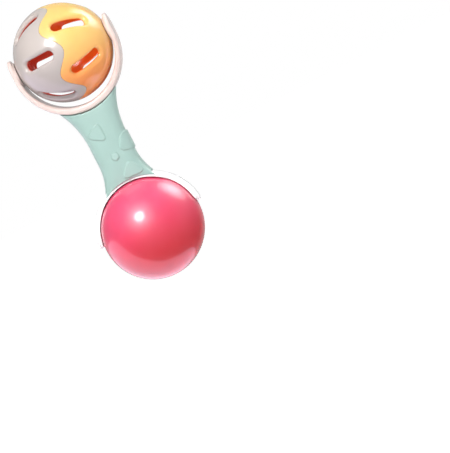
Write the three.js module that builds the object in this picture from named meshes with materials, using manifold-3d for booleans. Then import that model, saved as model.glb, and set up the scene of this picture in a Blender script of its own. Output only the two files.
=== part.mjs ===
// Rattle ball: a hand-held baby rattle. A slotted two-colour ball spins in a yoke at the upper end,
// a closed ball with loose beads sits in a cradle at the lower end, and a waisted soft grip covers
// the stem between them. Millimetres: Z runs along the handle towards the slotted ball, X is the
// spin axis of that ball, the front faces -Y, and the origin lies midway between the two balls.
import * as THREE from 'three';
import { mergeVertices } from 'three/addons/utils/BufferGeometryUtils.js';
import Module from 'manifold-3d';

const wasm = await Module();
wasm.setup();

// Layout and fits
const ballSpacing = 88.5;
const fitGap = 0.3;
const cutMargin = 1;
const fullestCorner = 0.9;

// Slotted ball, in two halves that meet at a wavy seam
const spinnerRadius = 22.6;
const spinnerWall = 2.2;
const lobeCount = 6;
const seamWave = 3.4;
const slotLength = 17.2;
const slotWidth = 5;
const slotRounding = 1.9;
const slotLatitude = 27;
const restTurn = 3.4;
const poleFlatRadius = 5.4;
const hubRadius = 5.2;
const hubDepth = 6.5;

// Lip that centres one half of a ball in the other
const lipLayer = 1;
const lipReach = 1.6;

// Yoke that carries the slotted ball
const sideClearance = 0.3;
const floorClearance = 2.4;
const armThickness = 2.2;
const floorThickness = 3.4;
const yokeDepth = 13;
const bandEdgeRadius = 1.3;
const tipThinning = 0.45;
const earRise = 7.6;
const bossRadius = 6;
const pivotRadius = 3;
const pivotLength = 5;
const turnedChamfer = 0.4;

// Closed ball with its beads
const rattleRadius = 23.5;
const rattleWall = 1.8;
const beadRadius = 3;
const ringBeadCount = 6;

// Cradle that holds the closed ball
const cradleThickness = 2.1;
const cradleDepth = 7.6;
const rimThickness = 0.6;
const rimDepth = 12.2;
const cradleSweep = 86;
const neckRadius = 2.5;
const flangeRadius = 4;
const flangeThickness = 1.6;

// Stem inside the grip, joined by a tongue in a socket
const stemWidth = 10.5;
const stemDepth = 8;
const stemCorner = 2;
const stemJointHeight = -3;
const tongueWidth = 6;
const tongueDepth = 4;
const tongueCorner = 1;
const tongueLength = 9;

// Soft grip
const waistWidth = 18.1;
const waistDepth = 14.4;
const waistTop = 0.5;
const waistFoot = -9;
const shoulderAngle = 31.8;
const skirtAngle = 34.1;
const endDepth = 13.6;
const gripSquareness = 3.2;
const skirtGap = 1.25;
const padHeight = 0.5;
const padCornerShare = 0.7;

// Facets
const spinnerSteps = 48;
const spinnerOuterRows = 9;
const spinnerInnerRows = 4;
const slotEndSteps = 6;
const shellSteps = 32;
const shellRows = 8;
const ringSteps = 20;
const cradleSteps = 16;
const turnedSteps = 24;
const cornerSteps = 3;
const gripRows = 14;
const gripColumns = 24;
const padCurveSteps = 3;
const beadSteps = 10;
const beadRows = 6;

const spinnerCentre = ballSpacing / 2;
const rattleCentre = -ballSpacing / 2;
const ringInner = spinnerRadius + sideClearance;
const ringCentre = spinnerCentre - (floorClearance - sideClearance);
const flatHeight = Math.sqrt(spinnerRadius ** 2 - poleFlatRadius ** 2);
const bossFace = flatHeight + fitGap;
const rattleInner = rattleRadius - rattleWall;
const cradleInner = rattleRadius + fitGap;
const cradleMiddle = cradleInner + cradleThickness / 2;

// A closed mesh as a solid, and back again
function solidOf(geometry) {
  const bare = geometry.clone();
  bare.deleteAttribute('normal');
  bare.deleteAttribute('uv');
  const merged = mergeVertices(bare);
  const index = merged.index.array;
  const triangles = [];
  for (let at = 0; at < index.length; at += 3) {
    const [a, b, c] = [index[at], index[at + 1], index[at + 2]];
    if (a !== b && b !== c && c !== a) {
      triangles.push(a, b, c);
    }
  }
  const mesh = new wasm.Mesh({
    numProp: 3,
    vertProperties: new Float32Array(merged.attributes.position.array),
    triVerts: new Uint32Array(triangles),
  });
  return new wasm.Manifold(mesh);
}

function geometryOf(solid) {
  const mesh = solid.getMesh();
  const geometry = new THREE.BufferGeometry();
  geometry.setAttribute('position', new THREE.BufferAttribute(new Float32Array(mesh.vertProperties), 3));
  geometry.setIndex(new THREE.BufferAttribute(new Uint32Array(mesh.triVerts), 1));
  geometry.computeVertexNormals();
  return geometry;
}

function volumeOf(points, triangles) {
  let sum = 0;
  for (let at = 0; at < triangles.length; at += 3) {
    const [a, b, c] = [points[triangles[at]], points[triangles[at + 1]], points[triangles[at + 2]]];
    sum += a.dot(new THREE.Vector3().crossVectors(b, c));
  }
  return sum;
}

// Triangles across a ring of points, which may be hollow at the sides, as places in the ring
function capTriangles(ring) {
  const facing = new THREE.Vector3();
  ring.forEach((point, at) => {
    facing.add(new THREE.Vector3().crossVectors(point, ring[(at + 1) % ring.length]));
  });
  const turn = new THREE.Quaternion().setFromUnitVectors(facing.normalize(), new THREE.Vector3(0, 0, 1));
  const flat = ring.map((point) => point.clone().applyQuaternion(turn));
  return THREE.ShapeUtils.triangulateShape(flat.map(({ x, y }) => new THREE.Vector2(x, y)), []);
}

// Skin over a row of equal rings of points, either closed round on itself or capped at both ends
function skinRings(rings, closedRound) {
  const size = rings[0].length;
  const points = rings.flat();
  const triangles = [];
  const spans = closedRound ? rings.length : rings.length - 1;
  for (let ring = 0; ring < spans; ring += 1) {
    const here = ring * size;
    const next = ((ring + 1) % rings.length) * size;
    for (let at = 0; at < size; at += 1) {
      const beside = (at + 1) % size;
      triangles.push(here + at, here + beside, next + beside, here + at, next + beside, next + at);
    }
  }
  if (!closedRound) {
    const last = (rings.length - 1) * size;
    for (const [start, flip] of [[0, true], [last, false]]) {
      for (const corners of capTriangles(rings[start / size])) {
        const ordered = flip ? [...corners].reverse() : corners;
        triangles.push(...ordered.map((at) => start + at));
      }
    }
  }
  if (volumeOf(points, triangles) < 0) {
    triangles.reverse();
  }
  const geometry = new THREE.BufferGeometry().setFromPoints(points);
  geometry.setIndex(triangles);
  return geometry;
}

// Corner-rounded rectangle as a ring of flat points
function roundedRectangle(halfWide, halfHigh, radius) {
  const corner = Math.min(radius, fullestCorner * halfWide, fullestCorner * halfHigh);
  const points = [];
  const corners = [[1, 1, 0], [-1, 1, 90], [-1, -1, 180], [1, -1, 270]];
  for (const [sideX, sideY, start] of corners) {
    for (let step = 0; step <= cornerSteps; step += 1) {
      const angle = THREE.MathUtils.degToRad(start + (90 * step) / cornerSteps);
      points.push([
        sideX * (halfWide - corner) + corner * Math.cos(angle),
        sideY * (halfHigh - corner) + corner * Math.sin(angle),
      ]);
    }
  }
  return points;
}

// Upright bar of rounded rectangular section between two heights
function bar(width, depth, corner, low, high) {
  const outline = roundedRectangle(width / 2, depth / 2, corner);
  const rings = [low, high].map((z) => outline.map(([x, y]) => new THREE.Vector3(x, y, z)));
  return solidOf(skinRings(rings, false));
}

// Flat outline in the front view, extended through the whole depth of the part
function throughCut(shape, curveSegments) {
  const depth = 4 * rattleRadius;
  const geometry = new THREE.ExtrudeGeometry(shape, { depth, bevelEnabled: false, curveSegments });
  geometry.translate(0, 0, -depth / 2);
  geometry.rotateX(Math.PI / 2);
  return solidOf(geometry);
}

// Section of a plain band with rounded edges, as distances outward and across
function plainSection(thickness, depth) {
  return roundedRectangle(thickness / 2, depth / 2, bandEdgeRadius);
}

// Section of a band with a thinner and deeper rim on its inner face
function rimmedSection(thickness, depth, rim, reach) {
  const plain = plainSection(thickness, depth);
  const inner = -thickness / 2;
  const step = [[inner + rim, depth / 2], [inner + rim, reach / 2], [inner, reach / 2]];
  const mirrored = step.map(([out, across]) => [out, -across]).reverse();
  return [...plain.slice(0, cornerSteps + 1), ...step, ...mirrored, ...plain.slice(-cornerSteps - 1)];
}

// Bent band: each station has a middle, an outward direction and a section
function band(stations) {
  const rings = stations.map(({ middle, outward, section }) => (
    section.map(([out, across]) => (
      middle.clone().addScaledVector(outward, out).add(new THREE.Vector3(0, across, 0))
    ))
  ));
  return solidOf(skinRings(rings, false));
}

// Half-disc rounding at a band's end: distance from the tip, with the shares of depth and thickness left
function tipSteps(depth) {
  const tipAngles = [22, 42, 64, 90];
  return tipAngles.map((degrees) => {
    const angle = THREE.MathUtils.degToRad(degrees);
    return {
      fromTip: (depth / 2) * (1 - Math.cos(angle)),
      depthShare: Math.sin(angle),
      thicknessShare: 1 - tipThinning * (1 - Math.sin(angle)),
    };
  });
}

// Thickness of the yoke's ring, from its arms to its floor
function ringThickness(angle) {
  return armThickness + (floorThickness - armThickness) * Math.sin(angle) ** 2;
}

function ringPoint(angle, radius) {
  return new THREE.Vector3(radius * Math.cos(angle), 0, ringCentre + radius * Math.sin(angle));
}

function yokeStations() {
  const arm = tipSteps(yokeDepth).map(({ fromTip, depthShare, thicknessShare }) => ({
    height: spinnerCentre + earRise - fromTip,
    section: plainSection(armThickness * thicknessShare, yokeDepth * depthShare),
  }));
  const armStations = (side) => arm.map(({ height, section }) => ({
    middle: new THREE.Vector3(side * (ringInner + armThickness / 2), 0, height),
    outward: new THREE.Vector3(side, 0, 0),
    section,
  }));
  const floor = [];
  for (let step = 0; step <= ringSteps; step += 1) {
    const angle = Math.PI + (Math.PI * step) / ringSteps;
    const thickness = ringThickness(angle);
    floor.push({
      middle: ringPoint(angle, ringInner + thickness / 2),
      outward: new THREE.Vector3(Math.cos(angle), 0, Math.sin(angle)),
      section: plainSection(thickness, yokeDepth),
    });
  }
  return [...armStations(-1), ...floor, ...armStations(1).reverse()];
}

// Round boss on an ear with the pivot that enters the slotted ball
function pivotBoss(side) {
  const tip = bossFace - pivotLength;
  const root = ringInner + armThickness / 2;
  const profile = [
    [0, tip],
    [pivotRadius - turnedChamfer, tip],
    [pivotRadius, tip + turnedChamfer],
    [pivotRadius, bossFace],
    [bossRadius - turnedChamfer, bossFace],
    [bossRadius, bossFace + turnedChamfer],
    [bossRadius, root],
    [0, root],
  ];
  const geometry = new THREE.LatheGeometry(profile.map(([r, x]) => new THREE.Vector2(r, x)), turnedSteps);
  geometry.rotateZ((-side * Math.PI) / 2);
  geometry.translate(0, 0, spinnerCentre);
  return solidOf(geometry);
}

function yoke() {
  const stemTop = ringCentre - ringInner - floorThickness / 2;
  const socketTop = stemJointHeight + tongueLength + fitGap;
  const socketWidth = tongueWidth + 2 * fitGap;
  const socketDepth = tongueDepth + 2 * fitGap;
  const socketCorner = tongueCorner + fitGap;
  return band(yokeStations())
    .add(pivotBoss(-1))
    .add(pivotBoss(1))
    .add(bar(stemWidth, stemDepth, stemCorner, stemJointHeight, stemTop))
    .subtract(bar(socketWidth, socketDepth, socketCorner, stemJointHeight - cutMargin, socketTop));
}

// Section of the cradle's band at a share of its full thickness and depth
function cradleSection(thicknessShare, depthShare) {
  return rimmedSection(
    cradleThickness * thicknessShare,
    cradleDepth * depthShare,
    rimThickness * thicknessShare,
    rimDepth * depthShare,
  );
}

// Section of the room that the grip leaves for the cradle's band, its rim lies outside the grip
function cradleRoomSection(thicknessShare, depthShare) {
  return plainSection(
    cradleThickness * thicknessShare + 2 * fitGap,
    cradleDepth * depthShare + 2 * fitGap,
  );
}

// Stations of the cradle's two arms, with rounded tips
function cradleStations(sectionAt) {
  const sweep = THREE.MathUtils.degToRad(cradleSweep);
  const tips = tipSteps(cradleDepth).map(({ fromTip, depthShare, thicknessShare }) => ({
    angle: sweep - fromTip / cradleMiddle,
    depthShare,
    thicknessShare,
  }));
  const reach = tips[tips.length - 1].angle;
  const steps = tips.slice(0, -1).map((tip) => ({ ...tip, angle: -tip.angle }));
  for (let step = 0; step <= cradleSteps; step += 1) {
    steps.push({ angle: reach * ((2 * step) / cradleSteps - 1), depthShare: 1, thicknessShare: 1 });
  }
  steps.push(...tips.slice(0, -1).reverse());
  return steps.map(({ angle, depthShare, thicknessShare }) => {
    const outward = new THREE.Vector3(Math.sin(angle), 0, Math.cos(angle));
    return {
      middle: outward.clone().multiplyScalar(cradleMiddle).add(new THREE.Vector3(0, 0, rattleCentre)),
      outward,
      section: sectionAt(thicknessShare, depthShare),
    };
  });
}

// Neck and flange that the two shells of the closed ball shut round
function cradleSpigot() {
  const flangeTop = Math.sqrt(rattleInner ** 2 - flangeRadius ** 2) - fitGap;
  const profile = [
    [0, flangeTop - flangeThickness],
    [flangeRadius, flangeTop - flangeThickness],
    [flangeRadius, flangeTop],
    [neckRadius, flangeTop],
    [neckRadius, cradleMiddle],
    [0, cradleMiddle],
  ];
  const geometry = new THREE.LatheGeometry(profile.map(([r, z]) => new THREE.Vector2(r, z)), turnedSteps);
  geometry.rotateX(Math.PI / 2);
  geometry.translate(0, 0, rattleCentre);
  return solidOf(geometry);
}

function cradle() {
  const stemFoot = rattleCentre + cradleMiddle;
  const stemHead = stemJointHeight - fitGap;
  return band(cradleStations(cradleSection))
    .add(cradleSpigot())
    .add(bar(stemWidth, stemDepth, stemCorner, stemFoot, stemHead))
    .add(bar(tongueWidth, tongueDepth, tongueCorner, stemFoot, stemJointHeight + tongueLength));
}

// Points along a sphere's profile, from one height on its axis to another
function sphereArc(radius, from, to, steps) {
  const start = Math.acos(from / radius);
  const end = Math.acos(to / radius);
  const points = [];
  for (let step = 0; step <= steps; step += 1) {
    const angle = start + ((end - start) * step) / steps;
    points.push([radius * Math.cos(angle), radius * Math.sin(angle)]);
  }
  return points;
}

function chord(radius, height) {
  return Math.sqrt(radius ** 2 - height ** 2);
}

// Lip at the open edge of half a ball: a tongue that stands past the edge, or the rebate that takes it
function lipPoints(radius, edge, hasTongue) {
  const layer = radius - lipLayer + (hasTongue ? -fitGap / 2 : fitGap / 2);
  const end = hasTongue ? edge - lipReach : edge + lipReach;
  return { points: [[edge, chord(layer, edge)], [end, chord(layer, end)]], end };
}

// Profile of half the slotted ball at one place round it, as heights along the axis and radii
function spinnerProfile(edge, hasTongue) {
  const bore = pivotRadius + fitGap;
  const inner = spinnerRadius - spinnerWall;
  const hubEnd = flatHeight - hubDepth;
  const lip = lipPoints(spinnerRadius, edge, hasTongue);
  return [
    [flatHeight, bore],
    ...sphereArc(spinnerRadius, flatHeight, edge, spinnerOuterRows),
    ...lip.points,
    ...sphereArc(inner, lip.end, chord(inner, hubRadius), spinnerInnerRows),
    [hubEnd, hubRadius],
    [hubEnd, bore],
  ];
}

// Long round-ended outline of a slot as points along and across it
function slotOutline(halfLength, halfWidth) {
  const straight = halfLength - halfWidth;
  const points = [];
  for (const end of [1, -1]) {
    for (let step = 0; step <= slotEndSteps; step += 1) {
      const angle = -Math.PI / 2 + (Math.PI * step) / slotEndSteps;
      points.push([end * (straight + halfWidth * Math.cos(angle)), end * halfWidth * Math.sin(angle)]);
    }
  }
  return points;
}

// Cutter for one slot: straight through the wall, then flared outwards by the rounding of its rim
function slotCutter(side, turn) {
  const latitude = THREE.MathUtils.degToRad(slotLatitude);
  const [sinLat, cosLat] = [Math.sin(latitude), Math.cos(latitude)];
  const [sinTurn, cosTurn] = [Math.sin(turn), Math.cos(turn)];
  const middle = new THREE.Vector3(side * sinLat, -cosLat * cosTurn, cosLat * sinTurn);
  const along = new THREE.Vector3(side * cosLat, sinLat * cosTurn, -sinLat * sinTurn);
  const across = new THREE.Vector3(0, sinTurn, cosTurn);
  const layers = [[spinnerRadius - spinnerWall - cutMargin, 0]];
  for (const degrees of [0, 50, 80]) {
    const angle = THREE.MathUtils.degToRad(degrees);
    layers.push([
      spinnerRadius - slotRounding * (1 - Math.sin(angle)),
      slotRounding * (1 - Math.cos(angle)),
    ]);
  }
  const outside = (spinnerRadius + cutMargin) / Math.cos((slotLength / 2 + slotRounding) / spinnerRadius);
  layers.push([outside, slotRounding]);
  const rings = layers.map(([radius, spread]) => {
    const outline = slotOutline(slotLength / 2 + spread, slotWidth / 2 + spread);
    return outline.map(([lengthways, sideways]) => {
      const reach = Math.hypot(lengthways, sideways) / spinnerRadius;
      const heading = Math.atan2(sideways, lengthways);
      return middle.clone().multiplyScalar(Math.cos(reach))
        .addScaledVector(along, Math.sin(reach) * Math.cos(heading))
        .addScaledVector(across, Math.sin(reach) * Math.sin(heading))
        .multiplyScalar(radius);
    });
  });
  return solidOf(skinRings(rings, false));
}

// Half of the slotted ball, side -1 on the left and 1 on the right, one slot in each lobe of its edge
function spinnerHalf(side, hasTongue) {
  const startTurn = THREE.MathUtils.degToRad(restTurn);
  const rings = [];
  for (let step = 0; step < spinnerSteps; step += 1) {
    const turn = (2 * Math.PI * step) / spinnerSteps;
    const edge = side * seamWave * Math.cos(lobeCount * turn) + fitGap / 2;
    const place = turn + startTurn;
    rings.push(spinnerProfile(edge, hasTongue).map(([height, radius]) => (
      new THREE.Vector3(side * height, -radius * Math.cos(place), radius * Math.sin(place))
    )));
  }
  let half = solidOf(skinRings(rings, true));
  const firstSlot = side < 0 ? 0 : Math.PI / lobeCount;
  for (let lobe = 0; lobe < lobeCount; lobe += 1) {
    const turn = startTurn + firstSlot + (2 * Math.PI * lobe) / lobeCount;
    half = half.subtract(slotCutter(side, turn));
  }
  return half.translate([0, 0, spinnerCentre]);
}

// Half of the closed ball, with room at the top for the cradle's neck
function rattleShell(side, hasTongue) {
  const edge = fitGap / 2;
  const lip = lipPoints(rattleRadius, edge, hasTongue);
  const profile = [
    ...sphereArc(rattleRadius, rattleRadius, edge, shellRows),
    ...lip.points,
    ...sphereArc(rattleInner, lip.end, rattleInner, shellRows),
  ];
  const upwards = profile.reverse().map(([height, radius]) => new THREE.Vector2(Math.abs(radius), height));
  const geometry = new THREE.LatheGeometry(upwards, shellSteps);
  geometry.rotateX(side < 0 ? Math.PI : 0);
  const neckHole = new THREE.CylinderGeometry(
    neckRadius + fitGap, neckRadius + fitGap, rattleRadius, turnedSteps,
  );
  neckHole.rotateX(Math.PI / 2);
  neckHole.translate(0, 0, rattleRadius);
  return solidOf(geometry).subtract(solidOf(neckHole)).translate([0, 0, rattleCentre]);
}

// Places of the beads lying on the floor of the closed ball: one in the middle and a ring round it
function beadPlaces() {
  const floor = rattleInner - beadRadius - fitGap;
  const ring = 2 * beadRadius + fitGap;
  const places = [new THREE.Vector3(0, 0, rattleCentre - floor)];
  for (let bead = 0; bead < ringBeadCount; bead += 1) {
    const angle = (2 * Math.PI * bead) / ringBeadCount;
    places.push(new THREE.Vector3(
      ring * Math.cos(angle),
      ring * Math.sin(angle),
      rattleCentre - chord(floor, ring),
    ));
  }
  return places;
}

// Corner of the grip's front outline, on a circle round a ball's centre at an angle from the handle's axis
function gripCorner(centre, radius, angle) {
  const turn = THREE.MathUtils.degToRad(angle);
  const towards = -Math.sign(centre);
  return { half: radius * Math.sin(turn), height: centre + towards * radius * Math.cos(turn) };
}

const shoulder = gripCorner(ringCentre, ringInner + floorThickness + fitGap, shoulderAngle);
const skirt = gripCorner(rattleCentre, rattleRadius + skirtGap, skirtAngle);

function isAtWaist(height) {
  return height <= waistTop && height >= waistFoot;
}

// End of the grip that a height off the waist belongs to: its corner, and the height where its flare starts
function gripEnd(height) {
  return height > waistTop ? [shoulder, waistTop] : [skirt, waistFoot];
}

// Half width of the grip's front outline at a height: straight at the waist, flared by an arc at each end
function gripHalfWidth(height) {
  if (isAtWaist(height)) {
    return waistWidth / 2;
  }
  const [corner, start] = gripEnd(height);
  const flare = corner.half - waistWidth / 2;
  const rise = corner.height - start;
  const arcRadius = (rise ** 2 + flare ** 2) / (2 * flare);
  return waistWidth / 2 + arcRadius - chord(arcRadius, height - start);
}

// Half depth of the grip at a height, fullest at the waist
function gripHalfDepth(height) {
  if (isAtWaist(height)) {
    return waistDepth / 2;
  }
  const [corner, start] = gripEnd(height);
  const share = (height - start) / (corner.height - start);
  return (waistDepth + (endDepth - waistDepth) * share ** 2) / 2;
}

// Waisted grip body between its corners, swollen by an extra height where raised pads are cut from it
function gripBody(extra) {
  const low = skirt.height - cutMargin;
  const high = shoulder.height + cutMargin;
  const power = 2 / gripSquareness;
  const rings = [];
  for (let row = 0; row <= gripRows; row += 1) {
    const height = low + ((high - low) * row) / gripRows;
    const halfWide = gripHalfWidth(height) + extra;
    const halfDeep = gripHalfDepth(height) + extra;
    const ring = [];
    for (let column = 0; column < gripColumns; column += 1) {
      const angle = (2 * Math.PI * column) / gripColumns;
      const [across, deep] = [Math.cos(angle), Math.sin(angle)];
      ring.push(new THREE.Vector3(
        halfWide * Math.sign(across) * Math.abs(across) ** power,
        halfDeep * Math.sign(deep) * Math.abs(deep) ** power,
        height,
      ));
    }
    rings.push(ring);
  }
  return solidOf(skinRings(rings, false));
}

// Polygon with every corner rounded by a curve that takes up most of each half side
function roundedPolygon(corners) {
  const shape = new THREE.Shape();
  const middles = corners.map(([x, z], at) => {
    const [nextX, nextZ] = corners[(at + 1) % corners.length];
    return [(x + nextX) / 2, (z + nextZ) / 2];
  });
  const toward = (from, to, share) => from.map((value, axis) => value + (to[axis] - value) * share);
  corners.forEach((corner, at) => {
    const before = middles[(at + corners.length - 1) % corners.length];
    const start = toward(corner, before, padCornerShare);
    const end = toward(corner, middles[at], padCornerShare);
    if (at === 0) {
      shape.moveTo(...start);
    } else {
      shape.lineTo(...start);
    }
    shape.quadraticCurveTo(...corner, ...end);
  });
  shape.closePath();
  return shape;
}

// Raised pads scattered over the front and back of the grip, as corners in the front view
function gripPads() {
  const pads = [
    [[0.4, 9.9], [0.4, -0.3], [-8.1, 4.9]],
    [[6.6, 0.6], [3.2, -6.9], [13, -9], [13, 0.2]],
    [[-1.7, -8.7], [0.2, -10], [2.1, -8.7], [1.7, -6.3], [-1.2, -6.1]],
    [[4.5, -11.2], [-1.6, -19], [9.9, -19.6]],
  ];
  const swollen = gripBody(padHeight);
  return pads.map((corners) => swollen.intersect(throughCut(roundedPolygon(corners), padCurveSteps)));
}

// Room under the yoke's ring, along the outline of its outer side
function ringRoom() {
  const shape = new THREE.Shape();
  for (let step = 0; step <= shellSteps; step += 1) {
    const angle = Math.PI + (Math.PI * step) / shellSteps;
    const point = ringPoint(angle, ringInner + ringThickness(angle) + fitGap);
    if (step === 0) {
      shape.moveTo(point.x, point.z);
    } else {
      shape.lineTo(point.x, point.z);
    }
  }
  shape.closePath();
  return throughCut(shape, shellSteps);
}

// Room round the closed ball, left as a narrow line between the grip and the ball
function ballRoom() {
  const shape = new THREE.Shape();
  shape.absarc(0, rattleCentre, rattleRadius + skirtGap, 0, 2 * Math.PI, false);
  return throughCut(shape, shellSteps);
}

function grip() {
  let body = gripBody(0);
  for (const pad of gripPads()) {
    body = body.add(pad);
  }
  const bore = bar(
    stemWidth + 2 * fitGap, stemDepth + 2 * fitGap, stemCorner + fitGap, rattleCentre, spinnerCentre,
  );
  return body
    .subtract(ringRoom())
    .subtract(ballRoom())
    .subtract(band(cradleStations(cradleRoomSection)))
    .subtract(bore);
}

function plastic(color, roughness) {
  return new THREE.MeshStandardMaterial({ color, roughness, metalness: 0 });
}

const part = new THREE.Group();

function addPart(name, geometry, material) {
  const mesh = new THREE.Mesh(geometry, material);
  mesh.name = name;
  part.add(mesh);
  return mesh;
}

addPart('yoke', geometryOf(yoke()), plastic('#f7e6e0', 0.3));
addPart('cradle', geometryOf(cradle()), plastic('#fbfaf8', 0.35));
addPart('grip', geometryOf(grip()), plastic('#b4dbcf', 0.6));
addPart('spinner_half_grey', geometryOf(spinnerHalf(-1, false)), plastic('#cfc7c4', 0.3));
addPart('spinner_half_orange', geometryOf(spinnerHalf(1, true)), plastic('#f8bd6c', 0.3));
addPart('rattle_shell_front', geometryOf(rattleShell(-1, true)), plastic('#f9617d', 0.2));
addPart('rattle_shell_back', geometryOf(rattleShell(1, false)), plastic('#f9617d', 0.2));
beadPlaces().forEach((place, at) => {
  const ball = new THREE.SphereGeometry(beadRadius, beadSteps, beadRows);
  const bead = addPart(`bead_${at + 1}`, ball, plastic('#f3eee6', 0.4));
  bead.position.copy(place);
});

export default part;
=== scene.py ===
import math

import bmesh
import bpy
import numpy as np
from mathutils import Matrix, Vector


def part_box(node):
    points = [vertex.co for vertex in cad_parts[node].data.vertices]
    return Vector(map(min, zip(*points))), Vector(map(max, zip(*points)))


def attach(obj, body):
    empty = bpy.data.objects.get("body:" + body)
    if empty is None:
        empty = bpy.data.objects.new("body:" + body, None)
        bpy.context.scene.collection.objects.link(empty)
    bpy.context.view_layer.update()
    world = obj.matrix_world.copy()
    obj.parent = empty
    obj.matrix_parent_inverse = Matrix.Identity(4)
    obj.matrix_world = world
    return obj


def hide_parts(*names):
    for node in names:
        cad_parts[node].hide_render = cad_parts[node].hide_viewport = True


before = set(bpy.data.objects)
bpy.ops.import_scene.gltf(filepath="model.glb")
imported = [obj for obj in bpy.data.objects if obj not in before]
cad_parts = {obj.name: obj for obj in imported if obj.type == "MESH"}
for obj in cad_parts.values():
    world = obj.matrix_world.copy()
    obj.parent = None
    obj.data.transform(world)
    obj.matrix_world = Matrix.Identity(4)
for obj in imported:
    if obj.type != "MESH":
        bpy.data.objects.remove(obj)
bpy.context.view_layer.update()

# Sizes in millimetres, in the part's own frame: Z along the handle, X along the spin axis, front at -Y
MM = 0.001
BALL_SPACING = 88.5
SPINNER_CENTRE = BALL_SPACING / 2
RATTLE_CENTRE = -BALL_SPACING / 2
FIT_GAP = 0.3
CUT_MARGIN = 3.0
AXIS_RADIUS = 0.01
MERGE_DISTANCE = 0.001
SLIVER_LENGTH = 0.0001

# Slotted ball
SPINNER_RADIUS = 22.6
SPINNER_WALL = 2.2
SPINNER_INNER = SPINNER_RADIUS - SPINNER_WALL
LOBES = 6
HALF_LOBE = math.pi / LOBES
SEAM_WAVE = 3.4
SEAM_GAP = 0.08
SEAM_ROUNDING = 0.14
SLOT_LENGTH = 17.2
SLOT_WIDTH = 5.0
SLOT_ROUNDING = 1.9
SLOT_INNER_ROUNDING = 0.25
SLOT_LATITUDE = math.radians(27)
REST_TURN = math.radians(3.4)
POLE_FLAT_RADIUS = 5.4
POLE_ROUNDING = 0.5
FLAT_HEIGHT = math.sqrt(SPINNER_RADIUS**2 - POLE_FLAT_RADIUS**2)
OUTER_TOP = math.sqrt(SPINNER_RADIUS**2 - (POLE_FLAT_RADIUS + POLE_ROUNDING)**2)
HUB_RADIUS = 5.2
HUB_DEPTH = 6.5
HUB_FOOT = HUB_RADIUS + 2 * POLE_ROUNDING
INNER_TOP = math.sqrt(SPINNER_INNER**2 - HUB_FOOT**2)
LIP_LAYER = 1.0
LIP_REACH = 1.6
# Radii between which the slotted ball's inside gets its painted shade, bounce light and glow
INSIDE_SHADE_START = SPINNER_INNER + 0.8
INSIDE_SHADE_FULL = SPINNER_INNER + 0.1
WELD_DISTANCE = 0.002

# Fineness of one lobe's mesh
CAP_STEPS = 28
SIDE_STEPS = 30
OUTER_ROWS = 12
INNER_ROWS = 8
THROAT_STEPS = 3
LIP_STEPS = 10

# Yoke
SIDE_CLEARANCE = 0.3
FLOOR_CLEARANCE = 2.4
RING_INNER = SPINNER_RADIUS + SIDE_CLEARANCE
RING_CENTRE = SPINNER_CENTRE - FLOOR_CLEARANCE + SIDE_CLEARANCE
ARM_THICKNESS = 2.2
FLOOR_THICKNESS = 3.4
YOKE_DEPTH = 13.0
BAND_EDGE = 1.3
TIP_START = math.radians(8)
TIP_THINNING = 0.45
EAR_RISE = 7.6
BOSS_RADIUS = 6.0
BOSS_FACE = FLAT_HEIGHT + FIT_GAP
PIVOT_RADIUS = 3.0
PIVOT_LENGTH = 5.0
TURNED_CHAMFER = 0.4
YOKE_VOXEL = 0.25
YOKE_SMOOTHING = 10

# Closed ball and its beads
RATTLE_RADIUS = 23.5
RATTLE_WALL = 1.8
RATTLE_INNER = RATTLE_RADIUS - RATTLE_WALL
SHELL_ROWS = 72
SHELL_INNER_ROWS = 30
SHELL_STEPS = 144
BEAD_COUNT = 7
BEAD_RADIUS = 3.0
BEAD_TRIM = 0.04
BEAD_GROOVE_WIDTH = 0.3
BEAD_GROOVE_DEPTH = 0.08

# Cradle
CRADLE_INNER = RATTLE_RADIUS + 0.04
CRADLE_BAND = 2.1
CRADLE_RIM = 0.6
CRADLE_OUTER = RATTLE_RADIUS + FIT_GAP + CRADLE_BAND
CRADLE_THICKNESS = CRADLE_OUTER - CRADLE_INNER
CRADLE_MIDDLE = (CRADLE_OUTER + CRADLE_INNER) / 2
CRADLE_DEPTH = 7.6
RIM_DEPTH = 12.2
RIM_END_DEPTH = 8.2
RIM_TAPER = math.radians(14)
RIM_THICKNESS = RATTLE_RADIUS + FIT_GAP + CRADLE_RIM - CRADLE_INNER
RIM_FILLET = 0.3
CRADLE_SWEEP = math.radians(86)
NECK_RADIUS = 2.5
FLANGE_RADIUS = 4.0
FLANGE_THICKNESS = 1.6

# Stem and grip
STEM_WIDTH = 10.5
STEM_DEPTH = 8.0
STEM_CORNER = 2.0
STEM_JOINT = -3.0
TONGUE_WIDTH = 6.0
TONGUE_DEPTH = 4.0
TONGUE_CORNER = 1.0
TONGUE_LENGTH = 9.0
WAIST_WIDTH = 18.1
WAIST_DEPTH = 14.4
WAIST_TOP = 0.5
WAIST_FOOT = -9.0
SHOULDER_ANGLE = math.radians(31.8)
SHOULDER_RADIUS = RING_INNER + FLOOR_THICKNESS + FIT_GAP
SKIRT_ANGLE = math.radians(34.1)
SKIRT_RADIUS = RATTLE_RADIUS + 1.25
SKIRT_SEAT = RATTLE_RADIUS + 0.95
END_DEPTH = 13.6
GRIP_SQUARENESS = 3.2
GRIP_VOXEL = 0.23
GRIP_SMOOTHING = 9
THROUGH_REACH = 60.0

# Raised pads of the grip, as (across, height) corners on its front
PAD_HEIGHT = 0.65
PAD_EDGE = 0.24
PAD_CORNER_SHARE = 0.7
PADS = [
    [(0.4, 9.9), (0.4, -0.3), (-8.1, 4.9)],
    [(6.6, 0.6), (3.2, -6.9), (13, -9), (13, 0.2)],
    [(-1.7, -8.7), (0.2, -10), (2.1, -8.7), (1.7, -6.3), (-1.2, -6.1)],
    [(4.5, -11.2), (-1.6, -19), (9.9, -19.6)],
]

# Moulded surface that most pieces share, with the sizes of its patterns in metres
MOULDED_SURFACE = {
    "Drift Size": 0.03, "Drift": 0.6, "Uneven Gloss": 0.1, "Smudge Size": 0.012, "Grain Size": 0.0006,
}

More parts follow.
